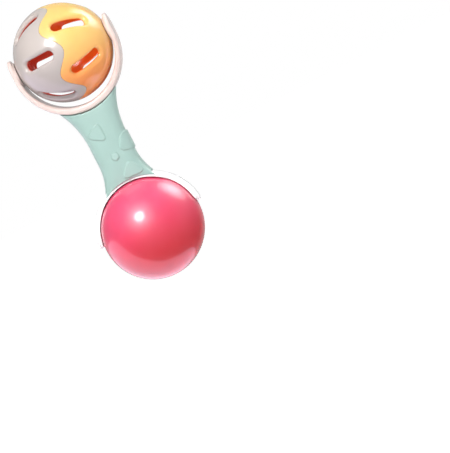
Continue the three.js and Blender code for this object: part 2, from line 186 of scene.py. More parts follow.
# Mould's parting line
PARTING_HALF_WIDTH = 0.18
PARTING_HEIGHT = 0.06
PARTING_STRENGTH = 0.35

# Photograph's view: where the handle's middle lies in a 450 by 453 image, and its scale
IMAGE_WIDTH = 450
IMAGE_HEIGHT = 453
HANDLE_PIXEL = (108.1, 139.85)
PIXEL_SIZE = 0.45
HANDLE_LEAN = math.radians(27.1)
CAMERA_YAW = math.radians(7)
CAMERA_PITCH = math.radians(1)
CAMERA_DISTANCE = 1500.0
CAMERA_CLIP = 50.0
SENSOR_WIDTH = 36

# Floor, below the lower ball
FLOOR_DROP = 130.0
FLOOR_REACH = 6000.0


# Meshes


def make_piece(name, points, faces, material):
    """Object of one material from points in millimetres."""
    mesh = bpy.data.meshes.new(name)
    mesh.from_pydata([[c * MM for c in point] for point in points], [], faces)
    mesh.materials.append(material)
    piece = bpy.data.objects.new(name, mesh)
    bpy.context.scene.collection.objects.link(piece)
    return piece


def close_up(mesh):
    """Merge doubled points and turn every face outwards."""
    work = bmesh.new()
    work.from_mesh(mesh)
    bmesh.ops.remove_doubles(work, verts=work.verts, dist=MERGE_DISTANCE * MM)
    bmesh.ops.dissolve_degenerate(work, edges=work.edges, dist=SLIVER_LENGTH * MM)
    bmesh.ops.recalc_face_normals(work, faces=work.faces)
    work.to_mesh(mesh)
    work.free()


def shade_smooth(mesh, sharp_angle=50):
    mesh.polygons.foreach_set("use_smooth", [True] * len(mesh.polygons))
    mesh.set_sharp_from_angle(angle=math.radians(sharp_angle))
    mesh.update()


def settle_modifiers(piece):
    """Turn a piece's modifiers into a plain mesh."""
    graph = bpy.context.evaluated_depsgraph_get()
    mesh = bpy.data.meshes.new_from_object(piece.evaluated_get(graph))
    piece.modifiers.clear()
    piece.data = mesh


def faces_between(ring_count, count):
    """Faces between neighbouring closed rings of points."""
    faces = []
    for row in range(ring_count - 1):
        low, high = row * count, (row + 1) * count
        for at in range(count):
            after = (at + 1) % count
            faces.append((low + at, low + after, high + after, high + at))
    return faces


def skin_rings(rings):
    """Closed tube through rings of points, capped at both ends."""
    count = len(rings[0])
    points = [point for ring in rings for point in ring]
    faces = faces_between(len(rings), count)
    faces.append(tuple(range(count)))
    faces.append(tuple(range((len(rings) - 1) * count, len(rings) * count)))
    return points, faces


def curve_between(start, corner, end, steps):
    """Points of a rounded corner, both ends included."""
    points = []
    for step in range(steps + 1):
        share = step / steps
        points.append(tuple(
            (1 - share)**2 * a + 2 * share * (1 - share) * b + share**2 * c
            for a, b, c in zip(start, corner, end)
        ))
    return points


def rounded_rectangle(half_wide, half_high, radius, steps=6):
    fullest = 0.95
    radius = min(radius, fullest * half_wide, fullest * half_high)
    corners = [(1, 1), (-1, 1), (-1, -1), (1, -1)]
    points = []
    for quarter, (across, up) in enumerate(corners):
        for step in range(steps + 1):
            angle = math.radians(90) * (quarter + step / steps)
            points.append((
                across * (half_wide - radius) + radius * math.cos(angle),
                up * (half_high - radius) + radius * math.sin(angle),
            ))
    return points


def bar(width, depth, corner, low, high):
    outline = rounded_rectangle(width / 2, depth / 2, corner)
    return skin_rings([[(x, y, z) for x, y in outline] for z in (low, high)])


def turned(profile, place, steps=64):
    """Solid of revolution from (radius, distance) pairs along an axis, placed by a function."""
    rings = []
    for radius, along in profile:
        ring = []
        for step in range(steps):
            angle = 2 * math.pi * step / steps
            ring.append(place(radius * math.cos(angle), radius * math.sin(angle), along))
        rings.append(ring)
    return skin_rings(rings)


def plain_section(thickness, depth):
    """Section of a band with rounded edges, as (outward, across) points."""
    return rounded_rectangle(thickness / 2, depth / 2, BAND_EDGE)


def rimmed_section(thickness, depth, rim, reach):
    """Section of a band with a thinner and deeper rim on its inner face, all edges soft."""
    inner, outer = -thickness / 2, thickness / 2
    band_share, rim_share, seat_share = 0.45, 0.4, 0.1
    longest_share = 0.48
    corners = [
        (outer, depth / 2, band_share * thickness),
        (inner + rim, depth / 2, RIM_FILLET),
        (inner + rim, reach / 2, rim_share * rim),
        (inner, reach / 2, seat_share * rim),
    ]
    corners += [(out, -across, soft) for out, across, soft in reversed(corners)]
    points = []
    for at, (out, across, soft) in enumerate(corners):
        here = np.array([out, across])
        before = np.array(corners[at - 1][:2]) - here
        after = np.array(corners[(at + 1) % len(corners)][:2]) - here
        start = here + before * min(soft / np.linalg.norm(before), longest_share)
        end = here + after * min(soft / np.linalg.norm(after), longest_share)
        points += curve_between(start, here, end, steps=5)
    return points


def bent_band(stations):
    """Band through (middle, outward, section) stations in the XZ plane."""
    rings = []
    for (x, z), (out_x, out_z), section in stations:
        rings.append([(x + out_x * out, across, z + out_z * out) for out, across in section])
    return skin_rings(rings)


def round_tip(depth, steps=12):
    """Steps of a half-disc end: distance from the tip, share of depth and share of thickness."""
    for step in range(1, steps + 1):
        angle = TIP_START + (math.pi / 2 - TIP_START) * step / steps
        yield (
            depth / 2 * (1 - math.cos(angle)),
            math.sin(angle),
            1 - TIP_THINNING * (1 - math.sin(angle)),
        )


def combine(piece, operation, name, shape):
    """Join another closed shape to a piece, or cut it away."""
    other = make_piece(name, *shape, piece.data.materials[0])
    close_up(other.data)
    step = piece.modifiers.new(name, "BOOLEAN")
    step.operation = operation
    step.solver = "EXACT"
    step.object = other
    settle_modifiers(piece)
    bpy.data.objects.remove(other)


def soften(piece, voxel, smoothing):
    """One moulded skin over a piece, with softened corners."""
    remesh = piece.modifiers.new("moulded_skin", "REMESH")
    remesh.mode = "VOXEL"
    remesh.voxel_size = voxel * MM
    smooth = piece.modifiers.new("soft_edges", "SMOOTH")
    smooth.factor = 0.5
    smooth.iterations = smoothing
    settle_modifiers(piece)
    shade_smooth(piece.data, sharp_angle=80)


# Node trees


def add_node(tree, kind, inputs=None, **settings):
    """Node with its settings, and with inputs that are values or other nodes' sockets."""
    node = tree.nodes.new(kind)
    for name, value in settings.items():
        setattr(node, name, value)
    for name, value in (inputs or {}).items():
        if isinstance(value, bpy.types.NodeSocket):
            tree.links.new(value, node.inputs[name])
        else:
            node.inputs[name].default_value = value
    return node


def new_tree(name, kind, inputs, outputs):
    """Group with named sockets, as its tree, what it is given and its result node."""
    tree = bpy.data.node_groups.new(name, kind)
    for direction, sockets in (("INPUT", inputs), ("OUTPUT", outputs)):
        for socket, socket_kind in sockets.items():
            tree.interface.new_socket(socket, in_out=direction, socket_type=f"NodeSocket{socket_kind}")
    given = add_node(tree, "NodeGroupInput").outputs
    result = add_node(tree, "NodeGroupOutput")
    return tree, given, result


def set_tree_inputs(modifier, values):
    """Set a tree's named inputs by their identifiers."""
    for item in modifier.node_group.interface.items_tree:
        if item.item_type == "SOCKET" and item.in_out == "INPUT" and item.name in values:
            modifier[item.identifier] = values[item.name]


# Slotted ball


def slot_outline(spread):
    """Round-ended slot as (along, across) points, from the seam end round to the pole end and back."""
    half_width = SLOT_WIDTH / 2 + spread
    straight = (SLOT_LENGTH - SLOT_WIDTH) / 2
    points = []
    for step in range(CAP_STEPS):
        angle = math.pi * (1 + step / CAP_STEPS)
        points.append((-straight + half_width * math.sin(angle), half_width * math.cos(angle)))
    for step in range(SIDE_STEPS):
        points.append((straight * (2 * step / SIDE_STEPS - 1), half_width))
    for step in range(CAP_STEPS):
        angle = math.pi * step / CAP_STEPS
        points.append((straight + half_width * math.sin(angle), half_width * math.cos(angle)))
    for step in range(SIDE_STEPS):
        points.append((straight * (1 - 2 * step / SIDE_STEPS), -half_width))
    return points


def slot_directions(spread):
    """The slot's outline laid on the ball, as directions from the ball's centre."""
    middle = np.array([math.sin(SLOT_LATITUDE), math.cos(SLOT_LATITUDE), 0])
    along_pole = np.array([math.cos(SLOT_LATITUDE), -math.sin(SLOT_LATITUDE), 0])
    across_turn = np.array([0, 0, 1])
    directions = []
    for along, across in slot_outline(spread):
        reach = math.hypot(along, across)
        bend = reach / SPINNER_RADIUS
        heading = (along * along_pole + across * across_turn) / reach
        directions.append(math.cos(bend) * middle + math.sin(bend) * heading)
    return np.array(directions)


def seam_height(turn):
    """Height of the wavy seam along the pole, at a turn from the lobe's middle."""
    return SEAM_GAP / 2 - SEAM_WAVE * math.cos(LOBES * turn)


def lobe_turns():
    return [HALF_LOBE * (2 * step / CAP_STEPS - 1) for step in range(CAP_STEPS + 1)]


def on_lobe(height, radius, turn):
    """Point of a lobe from its height along the pole, its distance from the ball's centre and its turn."""
    reach = math.sqrt(max(radius**2 - height**2, 0))
    return np.array([height, reach * math.cos(turn), reach * math.sin(turn)])


def lobe_border(above_seam, top, radius):
    """Points round a lobe's part of a sphere: along the seam, up one side, along the pole and back down."""
    turns = lobe_turns()
    side_edge = math.asin((seam_height(HALF_LOBE) + above_seam) / radius)
    side_top = math.asin(top / radius)
    rises = [side_edge + (side_top - side_edge) * step / SIDE_STEPS for step in range(SIDE_STEPS + 1)]
    border = [on_lobe(seam_height(turn) + above_seam, radius, turn) for turn in turns[:-1]]
    border += [on_lobe(radius * math.sin(rise), radius, HALF_LOBE) for rise in rises[:-1]]
    border += [on_lobe(top, radius, -turn) for turn in turns[:-1]]
    border += [on_lobe(radius * math.sin(rise), radius, -HALF_LOBE) for rise in reversed(rises[1:])]
    return np.array(border)


def spread_loops(start, end, radius, rows):
    """Loops on a sphere from one loop towards another, without the first."""
    loops = []
    for row in range(1, rows + 1):
        share = row / rows
        loop = (1 - share) * start / np.linalg.norm(start, axis=1, keepdims=True)
        loop = loop + share * end / np.linalg.norm(end, axis=1, keepdims=True)
        loops.append(radius * loop / np.linalg.norm(loop, axis=1, keepdims=True))
    return loops


def lobe_loops(set_back):
    """Loops of a lobe's skin, from its inner border up through the slot to its outer border."""
    outer_border = lobe_border(SEAM_ROUNDING, OUTER_TOP, SPINNER_RADIUS)
    inner_border = lobe_border(set_back, INNER_TOP, SPINNER_INNER)
    throat = slot_directions(SLOT_INNER_ROUNDING)
    loops = [inner_border]
    loops += list(reversed(spread_loops(throat, inner_border, SPINNER_INNER, INNER_ROWS)))[1:]
    for step in range(THROAT_STEPS + 1):
        angle = math.pi / 2 * step / THROAT_STEPS
        spread = SLOT_INNER_ROUNDING * (1 - math.sin(angle))
        depth = SPINNER_WALL - SLOT_INNER_ROUNDING * (1 - math.cos(angle))
        loops.append((SPINNER_RADIUS - depth) * slot_directions(spread))
    for step in range(LIP_STEPS + 1):
        angle = math.pi / 2 * step / LIP_STEPS
        spread = SLOT_ROUNDING * (1 - math.cos(angle))
        depth = SLOT_ROUNDING * (1 - math.sin(angle))
        loops.append((SPINNER_RADIUS - depth) * slot_directions(spread))
    rim = slot_directions(SLOT_ROUNDING)
    loops += spread_loops(rim, outer_border, SPINNER_RADIUS, OUTER_ROWS)
    return loops


def seam_lip(radius, has_tongue):
    """Radius where a half's two layers part, and how far the inner one is set back (minus for a tongue)."""
    sign = -1 if has_tongue else 1
    return radius - LIP_LAYER + sign * FIT_GAP / 2, sign * LIP_REACH


def seam_columns(layer, set_back):
    """Profiles across the seam's edge: rounded corner, outer layer, step and inner layer."""
    columns = []
    for turn in lobe_turns():
        edge = seam_height(turn)
        start = (edge + SEAM_ROUNDING, SPINNER_RADIUS)
        corner = (edge, SPINNER_RADIUS)
        end = (edge, SPINNER_RADIUS - SEAM_ROUNDING)
        profile = curve_between(start, corner, end, steps=4)
        profile += [(edge, layer), (edge + set_back, layer), (edge + set_back, SPINNER_INNER)]
        columns.append([on_lobe(height, radius, turn) for height, radius in profile])
    return columns


def pole_columns():
    """Profiles of the pole's flat, the pivot's bore and the hub."""
    bore = PIVOT_RADIUS + FIT_GAP
    hub_end = FLAT_HEIGHT - HUB_DEPTH
    hub_corner = math.sqrt(SPINNER_INNER**2 - HUB_RADIUS**2)
    profile = curve_between(
        (OUTER_TOP, POLE_FLAT_RADIUS + POLE_ROUNDING), (FLAT_HEIGHT, POLE_FLAT_RADIUS),
        (FLAT_HEIGHT, POLE_FLAT_RADIUS - POLE_ROUNDING), steps=6,
    )
    profile += [
        (FLAT_HEIGHT, bore + TURNED_CHAMFER), (FLAT_HEIGHT - TURNED_CHAMFER, bore), (hub_end, bore),
        (hub_end, HUB_RADIUS - TURNED_CHAMFER), (hub_end + TURNED_CHAMFER, HUB_RADIUS),
    ]
    profile += curve_between(
        (hub_corner - 2 * POLE_ROUNDING, HUB_RADIUS), (hub_corner, HUB_RADIUS),
        (INNER_TOP, HUB_FOOT), steps=5,
    )
    return [
        [(height, out * math.cos(turn), -out * math.sin(turn)) for height, out in profile]
        for turn in lobe_turns()
    ]


def add_strip(points, faces, columns):
    """Add a sheet of faces between neighbouring columns of points."""
    rows = len(columns[0])
    start = len(points)
    for column in columns:
        points.extend(column)
    for column in range(len(columns) - 1):
        for row in range(rows - 1):
            at = start + column * rows + row
            faces.append((at, at + rows, at + rows + 1, at + 1))


def lobe_mesh(name, side, has_tongue, material):
    """One lobe of a ball half with its slot: a sixth of the half, open where its neighbours join on."""
    layer, set_back = seam_lip(SPINNER_RADIUS, has_tongue)
    loops = lobe_loops(set_back)
    points = [point for loop in loops for point in loop]
    faces = faces_between(len(loops), len(loops[0]))
    add_strip(points, faces, seam_columns(layer, set_back))
    add_strip(points, faces, pole_columns())
    placed = [(side * height, -front, up) for height, front, up in points]
    return make_piece(name, placed, faces, material)


def lobe_ring_tree():
    """Lobes set round the spin axis and welded into half a ball."""
    tree, given, result = new_tree("lobes_round_the_axis", "GeometryNodeTree", {
        "Lobe": "Geometry", "Lobes": "Int", "First Turn": "Float", "Ball Centre": "Vector",
        "Weld Distance": "Float", "Plastic": "Material",
    }, {"Half Ball": "Geometry"})
    places = add_node(tree, "GeometryNodeMeshLine", {
        "Offset": (0, 0, 0), "Count": given["Lobes"], "Start Location": given["Ball Centre"],
    }, mode="OFFSET")
    index = add_node(tree, "GeometryNodeInputIndex")
    share = add_node(tree, "ShaderNodeMath", {
        0: index.outputs["Index"], 1: given["Lobes"],
    }, operation="DIVIDE")
    turn = add_node(tree, "ShaderNodeMath", {
        0: share.outputs["Value"], 1: 2 * math.pi, 2: given["First Turn"],
    }, operation="MULTIPLY_ADD")
    about_axis = add_node(tree, "ShaderNodeCombineXYZ", {"X": turn.outputs["Value"]})
    spread = add_node(tree, "GeometryNodeInstanceOnPoints", {
        "Points": places.outputs["Mesh"], "Instance": given["Lobe"],
        "Rotation": about_axis.outputs["Vector"],
    })
    realize = add_node(tree, "GeometryNodeRealizeInstances", {"Geometry": spread.outputs["Instances"]})
    weld = add_node(tree, "GeometryNodeMergeByDistance", {
        "Geometry": realize.outputs["Geometry"], "Distance": given["Weld Distance"],
    })
    paint = add_node(tree, "GeometryNodeSetMaterial", {
        "Geometry": weld.outputs["Geometry"], "Material": given["Plastic"],
    })
    tree.links.new(paint.outputs["Geometry"], result.inputs["Half Ball"])
    return tree


def spinner_half(name, side, has_tongue, first_turn, tree, material):
    half = lobe_mesh(name, side, has_tongue, material)
    modifier = half.modifiers.new("lobes", "NODES")
    modifier.node_group = tree
    set_tree_inputs(modifier, {
        "Lobes": LOBES,
        "First Turn": -first_turn,
        "Ball Centre": (0.0, 0.0, SPINNER_CENTRE * MM),
        "Weld Distance": WELD_DISTANCE * MM,
        "Plastic": material,
    })
    settle_modifiers(half)
    close_up(half.data)
    shade_smooth(half.data)
    return half


# Yoke


def ring_thickness(angle):
    return ARM_THICKNESS + (FLOOR_THICKNESS - ARM_THICKNESS) * math.sin(angle)**2


def yoke_band():
    ear = [
        (SPINNER_CENTRE + EAR_RISE - from_tip, plain_section(ARM_THICKNESS * thick, YOKE_DEPTH * deep))
        for from_tip, deep, thick in round_tip(YOKE_DEPTH)
    ]
    arm_middle = RING_INNER + ARM_THICKNESS / 2
    stations = [((-arm_middle, z), (-1, 0), section) for z, section in ear]
    steps = 72
    for step in range(steps + 1):
        angle = math.pi * (1 + step / steps)
        out = (math.cos(angle), math.sin(angle))
        thickness = ring_thickness(angle)
        middle = RING_INNER + thickness / 2
        place = (middle * out[0], RING_CENTRE + middle * out[1])
        stations.append((place, out, plain_section(thickness, YOKE_DEPTH)))
    stations += [((arm_middle, z), (1, 0), section) for z, section in reversed(ear)]
    return bent_band(stations)


def pivot_boss(side):
    tip = BOSS_FACE - PIVOT_LENGTH
    root = RING_INNER + ARM_THICKNESS / 2
    profile = [
        (AXIS_RADIUS, tip), (PIVOT_RADIUS - TURNED_CHAMFER, tip), (PIVOT_RADIUS, tip + TURNED_CHAMFER),
        (PIVOT_RADIUS, BOSS_FACE), (BOSS_RADIUS - TURNED_CHAMFER, BOSS_FACE),
        (BOSS_RADIUS, BOSS_FACE + TURNED_CHAMFER), (BOSS_RADIUS, root), (AXIS_RADIUS, root),
    ]
    return turned(profile, lambda a, b, along: (side * along, a, SPINNER_CENTRE + b))


def yoke_stem():
    """Stem under the ring with the socket in its foot that takes the cradle's tongue."""
    outer = rounded_rectangle(STEM_WIDTH / 2, STEM_DEPTH / 2, STEM_CORNER)
    socket = rounded_rectangle(
        TONGUE_WIDTH / 2 + FIT_GAP, TONGUE_DEPTH / 2 + FIT_GAP, TONGUE_CORNER + FIT_GAP,
    )
    top = RING_CENTRE - RING_INNER - FLOOR_THICKNESS / 2
    socket_top = STEM_JOINT + TONGUE_LENGTH + FIT_GAP
    levels = [(outer, top), (outer, STEM_JOINT), (socket, STEM_JOINT), (socket, socket_top)]
    return skin_rings([[(x, y, z) for x, y in outline] for outline, z in levels])


def make_yoke(material):
    """Overlapping closed shapes made one moulded skin."""
    points, faces = [], []
    for shape_points, shape_faces in (yoke_band(), pivot_boss(-1), pivot_boss(1), yoke_stem()):
        start = len(points)
        points += shape_points
        faces += [tuple(start + at for at in face) for face in shape_faces]
    yoke = make_piece("yoke_skin", points, faces, material)
    close_up(yoke.data)
    soften(yoke, YOKE_VOXEL, YOKE_SMOOTHING)
    return yoke


# Cradle


def cradle_section(angle, thick, deep):
    """Section of the cradle at an angle from the handle: its rim narrows where it leaves the grip."""
    past_grip = min(max((abs(angle) - SKIRT_ANGLE) / RIM_TAPER, 0), 1)
    reach = RIM_DEPTH + (RIM_END_DEPTH - RIM_DEPTH) * past_grip**2 * (3 - 2 * past_grip)
    return rimmed_section(CRADLE_THICKNESS * thick, CRADLE_DEPTH * deep, RIM_THICKNESS * thick, reach * deep)


def cradle_room_section(angle, thick, deep):
    """Section of the room in the grip for the cradle's band, the same at every angle."""
    return plain_section(CRADLE_THICKNESS * thick + 2 * FIT_GAP, CRADLE_DEPTH * deep + 2 * FIT_GAP)


def cradle_band(section_at):
    tips = [
        (CRADLE_SWEEP - from_tip / CRADLE_MIDDLE, deep, thick)
        for from_tip, deep, thick in round_tip(CRADLE_DEPTH)
    ]
    reach = tips[-1][0]
    steps = 61
    places = [(-angle, deep, thick) for angle, deep, thick in tips[:-1]]
    places += [(reach * (2 * step / steps - 1), 1, 1) for step in range(steps + 1)]
    places += list(reversed(tips[:-1]))
    stations = []
    for angle, deep, thick in places:
        out = (math.sin(angle), math.cos(angle))
        place = (CRADLE_MIDDLE * out[0], RATTLE_CENTRE + CRADLE_MIDDLE * out[1])
        stations.append((place, out, section_at(angle, thick, deep)))
    return bent_band(stations)


def cradle_spigot():
    """Flanged neck that the closed ball's halves shut round."""
    flange_top = math.sqrt(RATTLE_INNER**2 - FLANGE_RADIUS**2) - FIT_GAP
    flange_foot = flange_top - FLANGE_THICKNESS
    profile = [
        (AXIS_RADIUS, flange_foot), (FLANGE_RADIUS, flange_foot), (FLANGE_RADIUS, flange_top),
        (NECK_RADIUS, flange_top), (NECK_RADIUS, CRADLE_MIDDLE), (AXIS_RADIUS, CRADLE_MIDDLE),
    ]
    return turned(profile, lambda a, b, along: (a, b, RATTLE_CENTRE + along))


def make_cradle(material):
    cradle = make_piece("cradle_skin", *cradle_band(cradle_section), material)
    close_up(cradle.data)
    foot = RATTLE_CENTRE + CRADLE_MIDDLE
    stem = bar(STEM_WIDTH, STEM_DEPTH, STEM_CORNER, foot, STEM_JOINT - FIT_GAP)
    tongue = bar(TONGUE_WIDTH, TONGUE_DEPTH, TONGUE_CORNER, foot, STEM_JOINT + TONGUE_LENGTH)
    combine(cradle, "UNION", "spigot", cradle_spigot())
    combine(cradle, "UNION", "stem", stem)
    combine(cradle, "UNION", "tongue", tongue)
    shade_smooth(cradle.data, sharp_angle=40)
    return cradle


# Closed ball


def arc_pairs(radius, start, end, rows):
    angles = [start + (end - start) * row / rows for row in range(rows + 1)]
    return [(radius * math.cos(angle), radius * math.sin(angle)) for angle in angles]


def shell_profile(has_tongue):
    """Half section of a shell as (radius, distance from the seam's plane) pairs, its outside first."""
    edge = SEAM_GAP / 2
    layer, set_back = seam_lip(RATTLE_RADIUS, has_tongue)
    end = edge + set_back
    rim = RATTLE_RADIUS - SEAM_ROUNDING
    halfway = 0.7
    first = math.asin((edge + SEAM_ROUNDING) / RATTLE_RADIUS)
    last = math.asin(end / RATTLE_INNER)
    profile = arc_pairs(RATTLE_RADIUS, math.pi / 2, first, SHELL_ROWS)
    profile += [(rim + halfway * SEAM_ROUNDING, edge + (1 - halfway) * SEAM_ROUNDING), (rim, edge)]
    profile += [(layer, edge), (layer, end)]
    profile += arc_pairs(RATTLE_INNER, last, math.pi / 2, SHELL_INNER_ROWS)
    profile[0] = (0.0, RATTLE_RADIUS)
    profile[-1] = (0.0, RATTLE_INNER)
    return profile


def make_rattle_shell(name, side, has_tongue, material):
    """Half of the closed ball, revolved about the Y axis, with half of the neck's hole at its top."""
    profile = shell_profile(has_tongue)
    points, faces = turned(profile, lambda a, b, along: (a, side * along, RATTLE_CENTRE + b), SHELL_STEPS)
    wall = faces[:-2]
    shell = make_piece(name, points, wall, material)
    close_up(shell.data)
    hole = NECK_RADIUS + FIT_GAP
    drill = [(hole, RATTLE_INNER - CUT_MARGIN), (hole, RATTLE_RADIUS + CUT_MARGIN)]
    combine(shell, "DIFFERENCE", "neck_room", turned(
        drill, lambda a, b, along: (a, b, RATTLE_CENTRE + along),
    ))
    shade_smooth(shell.data, sharp_angle=30)
    return shell


# Beads


def bead_tree():
    """A moulded bead with a fine groove round its middle."""
    tree, given, result = new_tree("moulded_bead", "GeometryNodeTree", {
        "Blank": "Geometry", "Radius": "Float", "Place": "Vector", "Groove Width": "Float",
        "Groove Depth": "Float", "Plastic": "Material",
    }, {"Bead": "Geometry"})
    ball = add_node(tree, "GeometryNodeMeshUVSphere", {
        "Segments": 48, "Rings": 48, "Radius": given["Radius"],
    })
    position = add_node(tree, "GeometryNodeInputPosition").outputs["Position"]
    apart = add_node(tree, "ShaderNodeSeparateXYZ", {"Vector": position})
    height = add_node(tree, "ShaderNodeMath", {0: apart.outputs["Z"]}, operation="ABSOLUTE")
    groove = add_node(tree, "ShaderNodeMapRange", {
        "Value": height.outputs["Value"], "From Max": given["Groove Width"], "To Min": -1, "To Max": 0,
    }, interpolation_type="SMOOTHSTEP")
    sink = add_node(tree, "ShaderNodeMath", {
        0: groove.outputs["Result"], 1: given["Groove Depth"],
    }, operation="MULTIPLY")
    outward = add_node(tree, "ShaderNodeVectorMath", {0: position}, operation="NORMALIZE")
    offset = add_node(tree, "ShaderNodeVectorMath", {
        0: outward.outputs["Vector"], "Scale": sink.outputs["Value"],
    }, operation="SCALE")
    shape = add_node(tree, "GeometryNodeSetPosition", {
        "Geometry": ball.outputs["Mesh"], "Offset": offset.outputs["Vector"],
    })
    put = add_node(tree, "GeometryNodeTransform", {
        "Geometry": shape.outputs["Geometry"], "Translation": given["Place"],
    })
    realize = add_node(tree, "GeometryNodeRealizeInstances", {"Geometry": put.outputs["Geometry"]})
    paint = add_node(tree, "GeometryNodeSetMaterial", {
        "Geometry": realize.outputs["Geometry"], "Material": given["Plastic"],
    })
    tree.links.new(paint.outputs["Geometry"], result.inputs["Bead"])
    return tree


def make_bead(number, tree, material):
    low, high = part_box(f"bead_{number}")
    place = (low + high) / 2
    bead = make_piece(f"rattle_bead_{number}", [(0, 0, 0)], [], material)
    modifier = bead.modifiers.new("bead", "NODES")
    modifier.node_group = tree
    set_tree_inputs(modifier, {
        "Radius": (BEAD_RADIUS - BEAD_TRIM) * MM,
        "Place": tuple(place),
        "Groove Width": BEAD_GROOVE_WIDTH * MM,
        "Groove Depth": BEAD_GROOVE_DEPTH * MM,
        "Plastic": material,
    })
    settle_modifiers(bead)
    shade_smooth(bead.data)
    return bead


# Grip


def grip_corner(centre, radius, angle):
    """Corner of the grip's front outline, on a circle round a ball's centre, as half width and height."""
    towards = -math.copysign(1, centre)
    return radius * math.sin(angle), centre + towards * radius * math.cos(angle)


SHOULDER = grip_corner(RING_CENTRE, SHOULDER_RADIUS, SHOULDER_ANGLE)
SKIRT = grip_corner(RATTLE_CENTRE, SKIRT_RADIUS, SKIRT_ANGLE)


def grip_end(height):
    """Corner that the flare at a height runs to, and the height where that flare starts."""
    return (SHOULDER, WAIST_TOP) if height > WAIST_TOP else (SKIRT, WAIST_FOOT)


def grip_half_width(height):
    if WAIST_FOOT <= height <= WAIST_TOP:
        return WAIST_WIDTH / 2
    (corner_half, corner_height), start = grip_end(height)
    flare = corner_half - WAIST_WIDTH / 2
    rise = corner_height - start
    arc = (rise**2 + flare**2) / (2 * flare)
    return WAIST_WIDTH / 2 + arc - math.sqrt(arc**2 - (height - start)**2)


def grip_half_depth(height):
    if WAIST_FOOT <= height <= WAIST_TOP:
        return WAIST_DEPTH / 2
    (_, corner_height), start = grip_end(height)
    share = (height - start) / (corner_height - start)
    return (WAIST_DEPTH + (END_DEPTH - WAIST_DEPTH) * share**2) / 2


def grip_loft():
    """Loft of square-shouldered ovals, a little longer than the grip."""
    spare = 1
    low, high = SKIRT[1] - spare, SHOULDER[1] + spare
    rows, columns = 56, 96
    power = 2 / GRIP_SQUARENESS
    rings = []
    for row in range(rows + 1):
        height = low + (high - low) * row / rows
        half_wide, half_deep = grip_half_width(height), grip_half_depth(height)
        ring = []
        for column in range(columns):
            angle = 2 * math.pi * column / columns
            across, deep = math.cos(angle), math.sin(angle)
            ring.append((
                half_wide * math.copysign(abs(across)**power, across),
                half_deep * math.copysign(abs(deep)**power, deep),
                height,
            ))
        rings.append(ring)
    return skin_rings(rings)


def through_cut(outline):
    """Outline in the front view, carried through the whole depth."""
    return skin_rings([[(x, depth, z) for x, z in outline] for depth in (-THROUGH_REACH, THROUGH_REACH)])


def ring_room():
    steps = 97
    outline = []
    for step in range(steps + 1):
        angle = math.pi * (1 + step / steps)
        radius = RING_INNER + ring_thickness(angle) + FIT_GAP
        outline.append((radius * math.cos(angle), RING_CENTRE + radius * math.sin(angle)))
    return through_cut(outline)


def ball_room():
    steps = 160
    turns = [2 * math.pi * (step + 0.5) / steps for step in range(steps)]
    return through_cut([
        (SKIRT_SEAT * math.cos(turn), RATTLE_CENTRE + SKIRT_SEAT * math.sin(turn)) for turn in turns
    ])


def stem_room():
    return bar(
        STEM_WIDTH + 2 * FIT_GAP, STEM_DEPTH + 2 * FIT_GAP, STEM_CORNER + FIT_GAP,
        RATTLE_CENTRE, SPINNER_CENTRE,
    )


def pad_outline(corners):
    """Polygon with soft corners as a line of points."""
    outline = []
    count = len(corners)
    for at, corner in enumerate(corners):
        before = corners[at - 1]
        after = corners[(at + 1) % count]
        start = [c + (b - c) / 2 * PAD_CORNER_SHARE for c, b in zip(corner, before)]
        end = [c + (a - c) / 2 * PAD_CORNER_SHARE for c, a in zip(corner, after)]
        outline += curve_between(start, corner, end, steps=8)
    return np.array(outline)


def depth_inside(places, outline):
    """How far inside a closed outline each place lies: negative outside it."""
    starts, ends = outline, np.roll(outline, -1, axis=0)
    nearest = np.full(len(places), np.inf)
    inside = np.zeros(len(places), bool)
    for start, end in zip(starts, ends):
        run = end - start
        share = np.clip((places - start) @ run / max(run @ run, 1e-12), 0, 1)
        nearest = np.minimum(nearest, np.linalg.norm(places - start - share[:, None] * run, axis=1))
        crosses = (start[1] > places[:, 1]) != (end[1] > places[:, 1])
        with np.errstate(divide="ignore", invalid="ignore"):
            at = start[0] + (places[:, 1] - start[1]) / (end[1] - start[1]) * run[0]
        inside ^= crosses & (places[:, 0] < at)
    return np.where(inside, nearest, -nearest)


def ramp(values, start, full):
    """Share from 0 at one value to 1 at another."""
    return np.clip((values - start) / (full - start), 0, 1)


def read_vectors(vertices, name):
    values = np.empty(len(vertices) * 3, np.float32)
    vertices.foreach_get(name, values)
    return values.reshape(-1, 3).astype(float)


def raise_pads(mesh):
    """Lift the outer skin inside each pad's outline, but not the grip's ends or its inside."""
    inner_skin, outer_skin = 0.75, 0.9
    end_slope, side_slope = 0.8, 0.6
    points = read_vectors(mesh.vertices, "co")
    normals = read_vectors(mesh.vertices, "normal")
    places = points[:, [0, 2]] / MM
    wide = np.array([grip_half_width(min(max(z, SKIRT[1]), SHOULDER[1])) for z in places[:, 1]])
    deep = np.array([grip_half_depth(z) for z in places[:, 1]])
    fullness = np.abs(places[:, 0] / wide)**GRIP_SQUARENESS
    fullness += np.abs(points[:, 1] / MM / deep)**GRIP_SQUARENESS
    can_rise = ramp(fullness, inner_skin, outer_skin) * ramp(np.abs(normals[:, 2]), end_slope, side_slope)
    rise = np.zeros(len(points))
    for corners in PADS:
        share = ramp(depth_inside(places, pad_outline(corners)), -PAD_EDGE, PAD_EDGE)
        rise = np.maximum(rise, share * share * (3 - 2 * share))
    points += normals * (rise * can_rise * PAD_HEIGHT * MM)[:, None]
    mesh.vertices.foreach_set("co", points.astype(np.float32).ravel())
    mesh.update()


